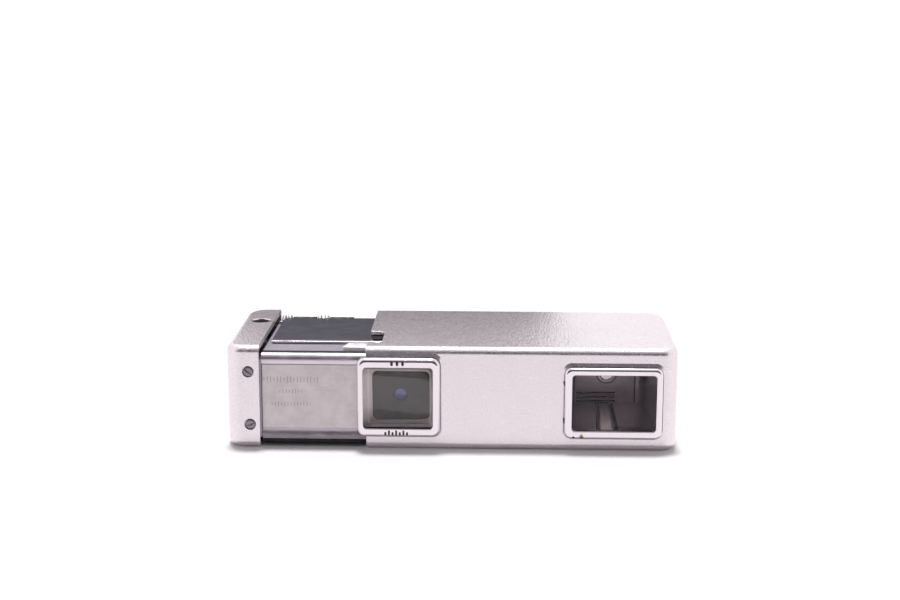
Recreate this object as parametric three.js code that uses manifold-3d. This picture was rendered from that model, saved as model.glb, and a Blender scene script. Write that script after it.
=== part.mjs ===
// Subminiature push-pull camera, drawn open, in millimetres.
// x runs along the camera, from the end cap to the closed end of the cover.
// y runs from the lens side to the eyepiece side, z runs up from the surface it stands on.
// Pieces are drawn with x = 0 at the cap's left face, y = 0 at the cover's front face and z = 0 at its
// underside; the outermost group then puts the origin under the middle of the camera.

import * as THREE from 'three';
import { mergeVertices } from 'three/addons/utils/BufferGeometryUtils.js';
import Module from 'manifold-3d';

const wasm = await Module();
wasm.setup();

// ---- driving dimensions ----
const depth = 42;            // front face to back face
const height = 25;           // underside to top
const coverLength = 74;
const capLength = 8;
const travel = 25.1;         // how far the cover slides
const parting = 0.3;         // gap left between cap and cover when closed
const wall = 1;              // cover sheet
const capWall = 1.2;
const running = 0.3;         // room between the inner body and the cover
const edgeRound = 1.2;       // long outer edges
const endRound = 4;          // outer corners seen from above
const capRearRound = 5;
const filterProud = 1.6;     // filter frame's front plane before the cover
const finderProud = 1.3;

const focusX = 41.3;         // lens axis
const focusZ = 12.5;
const filmPlane = 31;
const chamberX = [25.2, 57.5];   // supply and take-up axes
const chamberRadius = 7.9;
const chamberFloor = 2.8;
const chamberRoof = 20;
const gearModule = 0.8;
const pinionTeeth = 12;
const eyepieceX = 92.2;
const dialY = 38.9;
const dialZ = 22.25;
const apertureAxisX = focusX + 5.2;

// ---- places that follow from them ----
const coverLeft = capLength + parting + travel;
const coverRight = coverLeft + coverLength;
const frontY = wall + running;          // inner body, front
const backY = depth - wall - running;   // inner body, back
const bodyLeft = capLength + 0.4;
const bodyRight = coverRight - wall - travel - 0.9;
const deckZ = 22.75;                    // top of the chassis
const pitchRadius = gearModule * pinionTeeth / 2;
const gearFloor = 21;
const gearTop = 22.6;

// ---- materials ----
function material(color, roughness, metalness, extra = {}) {
  return new THREE.MeshStandardMaterial({ color, roughness, metalness, ...extra });
}
const satin = material(0xd6ced3, 0.42, 0.9);
const brushed = material(0xa89f9e, 0.35, 0.9);
const chrome = material(0xe6e6ea, 0.12, 1);
const steel = material(0xb9b9be, 0.3, 1);
const casting = material(0x8d8d90, 0.55, 0.8);
const slate = material(0x4b4b55, 0.45, 0.3);
const black = material(0x17161a, 0.6, 0.1);
const brass = material(0xb79a55, 0.35, 1);
const filmBase = material(0x4a3a44, 0.3, 0);
const glass = material(0xa7a9d0, 0.05, 0, { transparent: true, opacity: 0.35 });

// ---- solids ----
function solid(geometry) {
  const bare = geometry.clone();
  bare.deleteAttribute('normal');
  if (bare.attributes.uv) bare.deleteAttribute('uv');
  const merged = mergeVertices(bare, 1e-4);
  const mesh = new wasm.Mesh({
    numProp: 3,
    vertProperties: new Float32Array(merged.attributes.position.array),
    triVerts: new Uint32Array(merged.index.array),
  });
  mesh.merge();
  return new wasm.Manifold(mesh);
}

function join(first, ...rest) {
  return rest.reduce((whole, piece) => whole.add(piece), first);
}

function cut(first, ...rest) {
  return rest.reduce((whole, piece) => whole.subtract(piece), first);
}

function box(x0, x1, y0, y1, z0, z1) {
  const shape = new THREE.BoxGeometry(x1 - x0, y1 - y0, z1 - z0);
  return solid(shape.translate((x0 + x1) / 2, (y0 + y1) / 2, (z0 + z1) / 2));
}

// A round bar along one axis; a and b are its centre in the other two, in x, y, z order.
function rod(axis, radius, from, to, a, b, sides = 24) {
  const bar = new THREE.CylinderGeometry(radius, radius, to - from, sides);
  const middle = (from + to) / 2;
  if (axis === 'x') bar.rotateZ(-Math.PI / 2).translate(middle, a, b);
  if (axis === 'y') bar.translate(a, middle, b);
  if (axis === 'z') bar.rotateX(Math.PI / 2).translate(a, b, middle);
  return solid(bar);
}

// A flat outline made thick along one axis. Across 'x' the outline is drawn in y and z,
// across 'y' in x and z, across 'z' in x and y.
function thick(axis, outline, from, to, options = {}) {
  const { curveSegments = 6, round = 0, roundSteps = 3 } = options;
  const shape = new THREE.ExtrudeGeometry(outline, {
    depth: to - from - 2 * round,
    curveSegments,
    bevelEnabled: round > 0,
    bevelThickness: round,
    bevelSize: round,
    bevelOffset: -round,
    bevelSegments: roundSteps,
  });
  shape.translate(0, 0, round);
  if (axis === 'z') shape.translate(0, 0, from);
  if (axis === 'y') shape.rotateX(Math.PI / 2).translate(0, to, 0);
  if (axis === 'x') {
    const turn = new THREE.Matrix4().makeBasis(
      new THREE.Vector3(0, 1, 0), new THREE.Vector3(0, 0, 1), new THREE.Vector3(1, 0, 0));
    shape.applyMatrix4(turn).translate(from, 0, 0);
  }
  return solid(shape);
}

// A profile of [radius, place] points turned round an axis.
function turned(axis, profile, a, b, sides = 24) {
  const points = profile.map(([radius, place]) => new THREE.Vector2(radius, place));
  const shape = new THREE.LatheGeometry(points, sides);
  if (axis === 'y') shape.translate(a, 0, b);
  if (axis === 'z') shape.rotateX(Math.PI / 2).translate(a, b, 0);
  return solid(shape);
}

// ---- outlines ----
function polygon(points) {
  return new THREE.Shape(points.map(([a, b]) => new THREE.Vector2(a, b)));
}

// corners: radii at [low a low b, high a low b, high a high b, low a high b]
function roundedBox(a0, a1, b0, b1, corners) {
  const [lowLow, highLow, highHigh, lowHigh] = Array.isArray(corners) ? corners : Array(4).fill(corners);
  const shape = new THREE.Shape();
  shape.moveTo(a0 + lowLow, b0);
  shape.lineTo(a1 - highLow, b0);
  if (highLow) shape.absarc(a1 - highLow, b0 + highLow, highLow, -Math.PI / 2, 0, false);
  shape.lineTo(a1, b1 - highHigh);
  if (highHigh) shape.absarc(a1 - highHigh, b1 - highHigh, highHigh, 0, Math.PI / 2, false);
  shape.lineTo(a0 + lowHigh, b1);
  if (lowHigh) shape.absarc(a0 + lowHigh, b1 - lowHigh, lowHigh, Math.PI / 2, Math.PI, false);
  shape.lineTo(a0, b0 + lowLow);
  if (lowLow) shape.absarc(a0 + lowLow, b0 + lowLow, lowLow, Math.PI, 1.5 * Math.PI, false);
  return shape;
}

function notchedWheel(radius, notchDepth, notches) {
  const points = [];
  for (let i = 0; i < notches * 2; i += 1) {
    const angle = Math.PI * (i + 0.5) / notches;
    const reach = i % 2 ? radius - notchDepth : radius;
    points.push([reach * Math.cos(angle), reach * Math.sin(angle)]);
  }
  return points;
}

// ---- the assembly ----
const camera = new THREE.Group();
camera.position.set(-coverRight / 2, -(depth - filterProud) / 2, 0);
const innerBody = new THREE.Group();
const cover = new THREE.Group();
camera.add(innerBody, cover);

function place(group, name, piece, look) {
  const { numProp, vertProperties, triVerts } = piece.getMesh();
  const position = new Float32Array(vertProperties.length / numProp * 3);
  for (let i = 0; i < position.length / 3; i += 1) {
    position.set(vertProperties.subarray(i * numProp, i * numProp + 3), i * 3);
  }
  const geometry = new THREE.BufferGeometry();
  geometry.setAttribute('position', new THREE.BufferAttribute(position, 3));
  geometry.setIndex(new THREE.BufferAttribute(new Uint32Array(triVerts), 1));
  geometry.computeVertexNormals();
  const mesh = new THREE.Mesh(geometry, look);
  mesh.name = name;
  group.add(mesh);
}

// ---- outer sliding cover and what it carries ----
const lensWindow = { x0: 34, x1: 48.9, z0: 5.9, z1: 19.7 };
const finderWindow = { x0: 81.6, x1: 102.9, z0: 4.5, z1: 19.1 };

// A window's four sides, moved outward by grow.
const sides = ({ x0, x1, z0, z1 }, grow = 0) => [x0 - grow, x1 + grow, z0 - grow, z1 + grow];
const slideY = [6, 10.4];

function makeCover() {
  const over = 4;
  const outside = roundedBox(coverLeft - over, coverRight, 0, depth, [0, endRound, endRound, 0]);
  const inside = roundedBox(coverLeft - over - 1, coverRight - wall, wall, depth - wall,
    [0, endRound - wall, endRound - wall, 0]);
  const notch = box(coverLeft - 1, coverLeft + 3.5, 4.8, 16.7, height - 2, height + 1);
  place(cover, 'outer_cover', cut(
    thick('z', outside, 0, height, { round: edgeRound }),
    box(coverLeft - over - 1, coverLeft, -1, depth + 1, -1, height + 1),
    thick('z', inside, wall, height - wall, { curveSegments: 4 }),
    notch,
    thick('y', roundedBox(...sides(lensWindow), 0.8), -1, wall + 1),
    thick('y', roundedBox(...sides(finderWindow), 0.8), -1, wall + 1),
    rod('y', 3.3, depth - wall - 1, depth + 1, eyepieceX, focusZ, 32),
  ), satin);
}

// A proud window frame with its outer and inner front edges chamfered.
function windowFrame(outer, inner, front, back, corner) {
  const rim = { round: 0.45, roundSteps: 2, curveSegments: 4 };
  const blank = thick('y', roundedBox(...outer, corner), front, back + 1, rim);
  return cut(
    blank,
    box(outer[0] - 1, outer[1] + 1, back, back + 2, outer[2] - 1, outer[3] + 1),
    thick('y', roundedBox(...inner, 0.9), front - 1, back + 1, { curveSegments: 4 }),
  );
}

function makeFilter() {
  const neck = { x0: 34.15, x1: 48.75, z0: 6.05, z1: 19.55 };
  const lip = 0.45;
  const back = -0.15;
  const seat = 0.5;
  const frame = join(
    windowFrame([31.3, 51.1, 3.3, 22.6], [32.55, 49.4, 5.4, 20.1], -filterProud, back, 1.8),
    cut(
      thick('y', roundedBox(32, 50, 4.9, 20.6, 0.9), back - 0.3, back),
      thick('y', roundedBox(neck.x0 + lip, neck.x1 - lip, neck.z0 + lip, neck.z1 - lip, 0.5), -1, 1),
    ),
    cut(
      thick('y', roundedBox(neck.x0, neck.x1, neck.z0, neck.z1, 0.8), back - 0.1, wall - 0.1),
      thick('y', roundedBox(neck.x0 + lip, neck.x1 - lip, neck.z0 + lip, neck.z1 - lip, 0.5), -2, wall + 1),
    ),
  );
  place(cover, 'filter_frame', frame, chrome);
  const pane = roundedBox(32.65, 49.3, 5.5, 20, 0.8);
  place(cover, 'filter_glass', thick('y', pane, -0.5 - seat, -0.5), glass);
}

function makeFinder() {
  place(cover, 'finder_frame',
    windowFrame([80.5, 103.7, 3.2, 20.6], [82.3, 102.2, 5.2, 18.4], -finderProud, -0.02, 1.4), chrome);
  place(cover, 'finder_front_lens',
    thick('y', roundedBox(...sides(finderWindow, -0.1), 0.7), 0.05, wall + 0.1), glass);
  const inner = depth - wall;
  place(cover, 'eyepiece_ring', turned('y', [
    [2.5, inner + 0.1], [3.2, inner + 0.1], [3.2, depth], [2.8, depth], [2.5, depth - 0.2],
    [2.5, inner + 0.1],
  ], eyepieceX, focusZ, 32), chrome);
  place(cover, 'eyepiece_lens', turned('y', [
    [0, inner + 0.25], [2.45, inner + 0.25], [2.45, inner + 0.6], [1.3, inner + 0.8], [0, inner + 0.85],
  ], eyepieceX, focusZ), glass);
}

// Rack bar under the roof of the cover. Its teeth face the pinion on the take-up spindle.
function makeRack() {
  const pitch = Math.PI * gearModule;
  const pitchY = filmPlane - pitchRadius;
  const addendum = gearModule * 0.9;
  const dedendum = gearModule * 1.15;
  const toothFoot = 0.74;
  const toothTip = 0.22;
  const start = chamberX[1];
  const teeth = Math.ceil((travel + 2 * pitch) / pitch);
  const outline = [[start - 1.3 * pitch, pitchY - 2.6], [coverRight - wall - 0.02, pitchY - 2.6],
    [coverRight - wall - 0.02, pitchY - dedendum]];
  for (let i = teeth; i >= -1; i -= 1) {
    const middle = start + (i + 0.5) * pitch;
    outline.push([middle + toothFoot, pitchY - dedendum], [middle + toothTip, pitchY + addendum]);
    outline.push([middle - toothTip, pitchY + addendum], [middle - toothFoot, pitchY - dedendum]);
  }
  outline.push([start - 1.3 * pitch, pitchY - dedendum]);
  const bar = thick('z', polygon(outline), gearFloor + 0.2, gearTop);
  const end = coverRight - wall;
  const foot = box(end - 0.8, end - 0.02, pitchY - 4, pitchY + 3, 17, gearTop + 0.9);
  place(cover, 'advance_rack', join(bar, foot), steel);
}

function makeSlide() {
  const z0 = deckZ + 0.1;
  const tip = polygon([[27.5, slideY[0] + 0.5], [28.2, slideY[0]], [62, slideY[0]], [62, slideY[1]],
    [28.2, slideY[1]], [27.5, slideY[1] - 0.5]]);
  place(cover, 'cocking_slide', join(
    thick('z', tip, z0, z0 + 0.6),
    box(57, 62, slideY[0], slideY[1], z0 + 0.3, height - wall - 0.02),
  ), steel);
}

// ---- inner body: shells ----
// Each thumbwheel has two knurled flanges and a number drum on one axle, which lies along x.
const dials = [
  { name: 'aperture_dial', flanges: [[8.75, 9.7], [10.1, 11.2]], drum: [11.7, 15.4], end: 16.6 },
  { name: 'speed_dial', flanges: [[18, 18.95], [19.7, 20.85]], drum: [21.4, 25.1], end: 26.3 },
];

function makeFrontPlate() {
  const back = frontY + 1.5;
  const panelY = frontY + 0.5;
  const section = new THREE.Shape();
  section.moveTo(back, 1.9);
  section.lineTo(panelY + 0.2, 1.9);
  section.quadraticCurveTo(frontY, 2, frontY, 3.2);
  section.lineTo(frontY, 4.5);
  section.quadraticCurveTo(frontY, 5.3, panelY, 5.3);
  section.lineTo(panelY, 20.8);
  section.quadraticCurveTo(frontY, 20.8, frontY, 21.5);
  section.lineTo(frontY, 22.6);
  section.quadraticCurveTo(frontY, 23.4, panelY + 0.1, 23.4);
  section.lineTo(back, 23.4);
  const window = thick('y', roundedBox(34.3, 48.7, 6.3, 19.3, 0.9), 0, back + 1);
  place(innerBody, 'front_plate',
    cut(thick('x', section, bodyLeft, bodyRight - 1.4, { curveSegments: 4 }), window), brushed);
}

function makeTopPlate() {
  const plate = roundedBox(9.5, bodyRight - 0.2, 13.9, 37.8, [0, 0, 0, 3]);
  const wheelGaps = dials.map(({ flanges: [first, second] }) =>
    box(first[0] - 0.3, second[1] + 0.3, 37.2, 40, 22, 25));
  place(innerBody, 'top_plate', cut(thick('z', plate, deckZ + 0.1, 23.5), ...wheelGaps), slate);
  const strip = polygon([[12, deckZ + 0.1], [13.8, deckZ + 0.1], [13.8, 23.5], [12.7, 23.5], [12, 23]]);
  place(innerBody, 'top_trim_strip', thick('x', strip, 9.5, bodyRight - 0.2), chrome);
  place(innerBody, 'stop_pin', turned('z', [
    [0, deckZ + 0.02], [0.45, deckZ + 0.02], [0.45, 23.3], [0.25, 23.5], [0, 23.5],
  ], 8.95, 34, 12), chrome);
}

function makeBackPlate() {
  const y0 = 39.6;
  const plate = cut(
    box(bodyLeft + 0.2, bodyRight - 0.9, y0, y0 + 0.8, 2.7, deckZ),
    box(bodyLeft, 27.4, y0 - 1, y0 + 2, 20.5, deckZ + 1),
    rod('y', 0.6, y0 - 1, y0 + 2, 12.5, 5.5, 16),
    rod('y', 0.6, y0 - 1, y0 + 2, 30, 17.5, 16),
  );
  place(innerBody, 'back_plate', plate, brushed);
  [[12.5, 5.5], [30, 17.5]].forEach(([x, z], i) => {
    const screw = cut(
      join(rod('y', 1, y0 + 0.82, y0 + 1.1, x, z, 16), rod('y', 0.5, y0 - 2, y0 + 0.9, x, z, 12)),
      box(x - 1.2, x + 1.2, y0 + 0.95, y0 + 1.5, z - 0.12, z + 0.12),
    );
    place(innerBody, `back_screw_${i + 1}`, screw, steel);
  });
}

function makeEndCap() {
  const over = 4;
  const outside = roundedBox(0, capLength + over, 0, depth, [endRound, 0, 0, capRearRound]);
  const inside = roundedBox(capWall, capLength + over + 1, capWall, depth - capWall,
    [endRound - capWall, 0, 0, capRearRound - capWall]);
  const bores = capScrewPlaces.flatMap(({ x, z, front }) => {
    const face = front ? 0 : depth;
    const inward = front ? 1 : -1;
    const span = (near, far) => [Math.min(face + inward * near, face + inward * far),
      Math.max(face + inward * near, face + inward * far)];
    return [rod('y', 1.32, ...span(-1, 0.75), x, z), rod('y', 0.62, ...span(-1, 3), x, z, 16)];
  });
  place(innerBody, 'end_cap', cut(
    thick('z', outside, 0, height, { round: edgeRound }),
    box(capLength, capLength + over + 1, -1, depth + 1, -1, height + 1),
    thick('z', inside, capWall, height - capWall, { curveSegments: 4 }),
    rod('z', 2.7, height - 3, height + 1, buttonX, buttonY, 32),
    ...bores,
  ), satin);
}

// ---- end cap fittings ----
const buttonX = 4.8;
const buttonY = 27.4;
const capScrewPlaces = [
  { name: 'cap_screw_front_upper', x: 5.4, z: 18.75, front: true, slot: 0.6 },
  { name: 'cap_screw_front_lower', x: 5.67, z: 5.8, front: true, slot: -0.4 },
  { name: 'cap_screw_rear_upper', x: 5.4, z: 18.75, front: false, slot: 0.2 },
  { name: 'cap_screw_rear_lower', x: 5.67, z: 5.8, front: false, slot: 1.1 },
];

function makeCapScrews() {
  capScrewPlaces.forEach(({ name, x, z, front, slot }) => {
    const driver = solid(new THREE.BoxGeometry(3, 0.6, 0.34).rotateY(slot));
    const screw = cut(
      join(rod('y', 1.2, 0.05, 0.7, 0, 0), rod('y', 0.5, 0.5, 4, 0, 0, 12)),
      driver,
    );
    const placed = front ? screw.translate(x, 0, z) : screw.rotate(0, 0, 180).translate(x, depth, z);
    place(innerBody, name, placed, steel);
  });
}

function makeRelease() {
  const seat = height - 2.7;
  const buttonTop = height - 0.8;
  place(innerBody, 'release_bush', turned('z', [
    [1.1, seat - 0.5], [2.65, seat - 0.5], [2.65, height - 0.25], [2.4, height], [1.9, height - 0.3],
    [1.9, seat], [1.1, seat], [1.1, seat - 0.5],
  ], buttonX, buttonY, 32), chrome);
  place(innerBody, 'release_button', turned('z', [
    [0, seat - 1.4], [0.9, seat - 1.4], [0.9, buttonTop - 0.5], [1.8, buttonTop - 0.5],
    [1.8, buttonTop - 0.1], [1.6, buttonTop], [0, buttonTop - 0.2],
  ], buttonX, buttonY), steel);
  place(innerBody, 'release_spring', helix(1.35, 0.11, seat + 0.13, buttonTop - 0.63, 1.5), steel);
  leverPieces();
}

// A coil of round wire standing round the release button's stem.
function helix(radius, wire, z0, z1, turns) {
  class Coil extends THREE.Curve {
    getPoint(t, target = new THREE.Vector3()) {
      const angle = t * turns * 2 * Math.PI;
      return target.set(radius * Math.cos(angle), radius * Math.sin(angle), z0 + t * (z1 - z0));
    }
  }
  const section = new THREE.Shape();
  section.absarc(0, 0, wire, 0, 2 * Math.PI, false);
  const coil = new THREE.ExtrudeGeometry(section, {
    steps: Math.round(turns * 12), curveSegments: 3, extrudePath: new Coil(),
  });
  return solid(coil).translate(buttonX, buttonY, 0);
}

const leverPivot = { y: 21, z: 20.1 };

function leverPieces() {
  const outline = roundedBox(15, 29, leverPivot.z - 0.5, leverPivot.z + 0.5, 0.3);
  const lever = cut(
    join(
      thick('x', outline, 3.8, 5.8, { curveSegments: 2 }),
      rod('x', 0.9, 3.8, 5.8, leverPivot.y, leverPivot.z, 16),
    ),
    rod('x', 0.5, 3, 7, leverPivot.y, leverPivot.z, 16),
  );
  place(innerBody, 'release_lever', lever, brass);
  place(innerBody, 'release_lever_pin', rod('x', 0.42, 2.4, 7.2, leverPivot.y, leverPivot.z, 12), steel);
}

// ---- chassis ----
const shutterPocket = { x0: 30, x1: 55.2, z0: 3.4, z1: 19.8, back: 11 };
const shutterPivot = { x: 34, z: 6.2 };
const counter = { x: 73.2, y: 31 };

function lightTunnel() {
  const from = shutterPocket.back - 1;
  const to = 30.5;
  const wedge = new THREE.CylinderGeometry(10, 5, to - from, 4, 1).rotateY(Math.PI / 4);
  return solid(wedge.scale(1, 1, 0.74).translate(focusX, (from + to) / 2, focusZ));
}

function makeChassis() {
  const chamber = chamberX.map((x) => rod('z', chamberRadius, 0, chamberRoof, x, filmPlane, 32));
  const lugs = [[2.5, 3.5], [6.1, 7.1]].map(([x0, x1]) => cut(
    box(x0, x1, leverPivot.y - 1.2, leverPivot.y + 1.2, 17, leverPivot.z + 1),
    rod('x', 0.46, x0 - 1, x1 + 1, leverPivot.y, leverPivot.z, 12),
  ));
  const capBlock = join(
    box(2.2, bodyLeft + 0.5, 4.6, 37.2, 2, 18.6),
    box(3.9, bodyLeft - 0.1, frontY, 5, 2.4, 21.4),
    box(4.6, bodyLeft - 0.1, 37, backY, 2.4, 21.4),
    ...lugs,
  );
  const rackLine = filmPlane - pitchRadius;
  const screwBores = capScrewPlaces.map(({ x, z, front }) => (
    front ? rod('y', 0.56, 0, 5.2, x, z, 12) : rod('y', 0.56, depth - 5.2, depth, x, z, 12)));
  const main = join(box(bodyLeft, bodyRight, frontY + 1.55, 39.5, 2.7, deckZ), capBlock);
  place(innerBody, 'chassis', cut(
    main,
    ...screwBores,
    box(bodyLeft - 1, bodyLeft, 12, 34, 19, 30),
    ...chamber,
    box(chamberX[0], chamberX[1], filmPlane - 1.6, filmPlane + 4, 0, chamberRoof),
    lightTunnel(),
    box(shutterPocket.x0, shutterPocket.x1, 2, shutterPocket.back, shutterPocket.z0, shutterPocket.z1),
    box(bodyLeft + 1.4, 28.4, 2, 21.6, 3.8, 20.4),
    box(66.9, bodyRight - 1.2, 2, 21.6, 3.8, 20.4),
    box(28.6, bodyRight + 1, rackLine - 2.8, rackLine + 1, gearFloor, deckZ + 1),
    rod('z', pitchRadius + 1.1, gearFloor, deckZ + 1, chamberX[1], filmPlane, 32),
    rod('z', 1.3, chamberRoof - 1, gearFloor + 1, chamberX[1], filmPlane),
    box(bodyLeft - 1, 27.4, 37, 41, 20.4, deckZ + 1),
    rod('z', 5.2, 0, 3.9, counter.x, counter.y, 32),
    rod('z', 0.9, 3, 6, counter.x, counter.y, 16),
    rod('y', 0.55, 37, 41, 12.5, 5.5, 12),
    rod('y', 0.55, 37, 41, 30, 17.5, 12),
  ), casting);
}

function makeUnderside() {
  const doorRight = 66.5;
  const panel = (x0, x1) => thick('z', roundedBox(x0, x1, 3.4, 39.2, 0.6), 1.5, 2.6, { curveSegments: 2 });
  const latchPocket = box(13, 20.6, 17.2, 24.8, 1, 2.3);
  place(innerBody, 'film_door', cut(panel(9, doorRight), latchPocket), brushed);
  place(innerBody, 'door_latch', join(
    box(13.3, 18.2, 17.5, 24.5, 1.75, 2.2),
    ...[14.5, 15.7, 16.9].map((x) => box(x - 0.3, x + 0.3, 18, 24, 1.5, 1.8)),
  ), steel);
  place(innerBody, 'bottom_plate', cut(
    panel(doorRight + 0.3, bodyRight - 0.2),
    rod('z', 2.2, 1, 3, counter.x, counter.y + 2.2),
  ), brushed);
  place(innerBody, 'frame_counter', join(
    rod('z', 4.9, 2.9, 3.5, counter.x, counter.y, 24),
    rod('z', 0.8, 3.2, 5.8, counter.x, counter.y, 12),
  ), black);
}

// ---- optics ----
function makeBezel() {
  const front = frontY + 0.55;
  const back = 3;
  const outer = thick('y', roundedBox(34.4, 48.6, 6.4, 19.2, 0.8), front, back);
  const funnel = new THREE.CylinderGeometry(Math.SQRT2 / 2, Math.SQRT2 / 2, 1, 4, 1).rotateY(Math.PI / 4);
  const corners = funnel.attributes.position;
  for (let i = 0; i < corners.count; i += 1) {
    const reach = corners.getY(i) > 0 ? [13.2, 11.4] : [14, 12.6];
    corners.setX(i, corners.getX(i) * reach[0]);
    corners.setZ(i, corners.getZ(i) * reach[1]);
  }
  funnel.scale(1, back - front + 0.02, 1).translate(41.5, (front + back) / 2, 12.8);
  place(innerBody, 'lens_bezel', cut(outer, solid(funnel)), satin);
  place(innerBody, 'lens_plate', cut(
    thick('y', roundedBox(33.8, 49.2, 5.8, 19.5, 0.6), back + 0.05, back + 0.6),
    rod('y', 1.25, 2, 5, focusX, focusZ, 32),
  ), black);
}

function makeLens() {
  const block = { y0: 3.75, y1: 9.2 };
  place(innerBody, 'lens_block', cut(
    box(
      shutterPocket.x0 + 0.3, shutterPocket.x1 - 0.3, block.y0, block.y1,
      shutterPocket.z0 + 0.1, shutterPocket.z1 - 0.3,
    ),
    rod('y', 4.1, 0, 12, focusX, focusZ, 32),
    rod('y', 0.5, block.y1 - 2, 12, shutterPivot.x, shutterPivot.z, 12),
    rod('y', 0.5, block.y1 - 2, 12, apertureAxisX, focusZ, 12),
  ), casting);
  place(innerBody, 'lens_barrel', turned('y', [
    [2.7, 3.8], [4, 3.8], [4, 9], [2.7, 9], [2.7, 3.8],
  ], focusX, focusZ), black);
  const elements = [
    ['front_lens', [[0, 3.9], [1.4, 4.05], [2.6, 4.4], [2.6, 4.9], [1.4, 5.2], [0, 5.3]]],
    ['middle_lens', [[0, 6.2], [1.4, 6], [2.6, 5.6], [2.6, 6.9], [1.4, 6.55], [0, 6.4]]],
    ['rear_lens', [[0, 7.2], [1.4, 7.3], [2.6, 7.6], [2.6, 8], [1.4, 8.35], [0, 8.45]]],
  ];
  elements.forEach(([name, profile]) => place(innerBody, name, turned('y', profile, focusX, focusZ), glass));
  place(innerBody, 'lens_retaining_ring', turned('y', [
    [2.1, 8.55], [2.6, 8.55], [2.6, 8.95], [2.1, 8.95], [2.1, 8.55],
  ], focusX, focusZ), brass);
}

function makeDiaphragm() {
  const stops = [2.2, 1.6, 1.1, 0.8, 0.55, 0.4];
  const stopStep = Math.PI / 5;
  const orbit = apertureAxisX - focusX;
  const holes = stops.map((radius, i) => rod('y', radius, 9, 10.5,
    apertureAxisX - orbit * Math.cos(i * stopStep), focusZ - orbit * Math.sin(i * stopStep), 16));
  place(innerBody, 'aperture_disc', cut(
    rod('y', 7, 9.4, 9.75, apertureAxisX, focusZ, 32), ...holes,
    rod('y', 0.5, 9, 11, apertureAxisX, focusZ, 16),
  ), black);
  place(innerBody, 'aperture_pivot', rod('y', 0.42, 7.6, 10, apertureAxisX, focusZ, 12), steel);
  place(innerBody, 'shutter_pivot', rod('y', 0.42, 7.6, 10.8, shutterPivot.x, shutterPivot.z, 12), steel);
  const towards = Math.atan2(focusZ - shutterPivot.z, focusX - shutterPivot.x);
  const arm = Math.hypot(focusZ - shutterPivot.z, focusX - shutterPivot.x);
  const blade = cut(
    join(
      rod('y', 2.9, 10.1, 10.4, arm, 0),
      box(0, arm, 10.1, 10.4, -0.9, 0.9),
      rod('y', 1.1, 10, 10.7, 0, 0),
    ),
    rod('y', 0.5, 9, 12, 0, 0, 16),
  );
  const aimed = blade.rotate(0, -THREE.MathUtils.radToDeg(towards), 0);
  place(innerBody, 'shutter_blade', aimed.translate(shutterPivot.x, 0, shutterPivot.z), steel);
}

// ---- film transport ----
function makeFilmPath() {
  place(innerBody, 'film_gate', cut(
    box(33.6, 49, 29.6, 30.3, 3.2, 19.6),
    box(focusX - 7, focusX + 7, 29, 31, focusZ - 5, focusZ + 5),
  ), black);
  place(innerBody, 'film_strip', box(33.4, 49.2, 30.5, 30.7, 3.9, 18.9), filmBase);
  place(innerBody, 'pressure_plate', cut(
    box(34, 48.6, 31, 31.8, 4, 18.8), box(36, 46.6, 31.4, 32, 6, 16.8)), steel);
  place(innerBody, 'pressure_spring', thick('z', polygon([
    [35.5, 33.9], [36.5, 33.9], [focusX, 32.4], [46.1, 33.9], [47.1, 33.9], [47.1, 34.2], [46, 34.2],
    [focusX, 32.75], [36.6, 34.2], [35.5, 34.2],
  ]), 9.5, 14), steel);
  const [supply, takeUp] = chamberX;
  place(innerBody, 'film_cassette', cut(
    join(
      rod('z', 7.5, chamberFloor + 0.1, chamberRoof - 0.2, supply, filmPlane, 32),
      rod('z', 7.5, chamberFloor + 0.1, chamberRoof - 0.2, takeUp, filmPlane, 32),
      box(supply, takeUp, 34.4, 34.8, chamberFloor + 0.1, chamberFloor + 4),
    ),
    rod('z', 6.7, chamberFloor + 0.7, chamberRoof - 0.8, takeUp, filmPlane, 32),
    rod('z', 6.7, chamberFloor + 0.7, chamberRoof - 0.8, supply, filmPlane, 32),
    rod('z', 1.5, chamberRoof - 2, chamberRoof + 1, takeUp, filmPlane),
    box(supply + 5.5, supply + 8, filmPlane - 0.8, filmPlane, 3.6, 19.1),
    box(takeUp - 8, takeUp - 5.5, filmPlane - 0.8, filmPlane, 3.6, 19.1),
  ), black);
  place(innerBody, 'supply_roll', rod('z', 5.2, 3.9, 18.9, supply, filmPlane), filmBase);
  const spoolFloor = chamberFloor + 0.9;
  const spoolTop = chamberRoof - 1;
  place(innerBody, 'take_up_spool', cut(
    turned('z', [
      [0, spoolFloor], [6.3, spoolFloor], [6.3, spoolFloor + 0.4], [3, spoolFloor + 0.4], [3, spoolTop - 0.4],
      [6.3, spoolTop - 0.4], [6.3, spoolTop], [0, spoolTop],
    ], takeUp, filmPlane),
    box(takeUp - 0.75, takeUp + 0.75, filmPlane - 0.75, filmPlane + 0.75, spoolTop - 3, spoolTop + 1),
  ), black);
}

// Straight-flanked teeth that run free of the rack, with play on both sides.
function makePinion() {
  const outline = [];
  for (let i = 0; i < pinionTeeth; i += 1) {
    const middle = 2 * Math.PI * i / pinionTeeth - Math.PI / 2;
    const add = (radius, halfWidth) => {
      const angle = middle + halfWidth / radius;
      outline.push([radius * Math.cos(angle), radius * Math.sin(angle)]);
    };
    add(pitchRadius - 0.85, -0.95);
    add(pitchRadius, -0.5);
    add(pitchRadius + 0.65, -0.2);
    add(pitchRadius + 0.65, 0.2);
    add(pitchRadius, 0.5);
    add(pitchRadius - 0.85, 0.95);
  }
  const [, takeUp] = chamberX;
  const wheel = thick('z', polygon(outline), gearFloor + 0.3, gearTop);
  const spindle = rod('z', 1.1, chamberRoof - 0.9, gearFloor + 0.5, 0, 0);
  const key = box(-0.65, 0.65, -0.65, 0.65, chamberRoof - 3.5, chamberRoof - 0.5);
  place(innerBody, 'advance_pinion', join(wheel, spindle, key).translate(takeUp, filmPlane, 0), brass);
}

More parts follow.
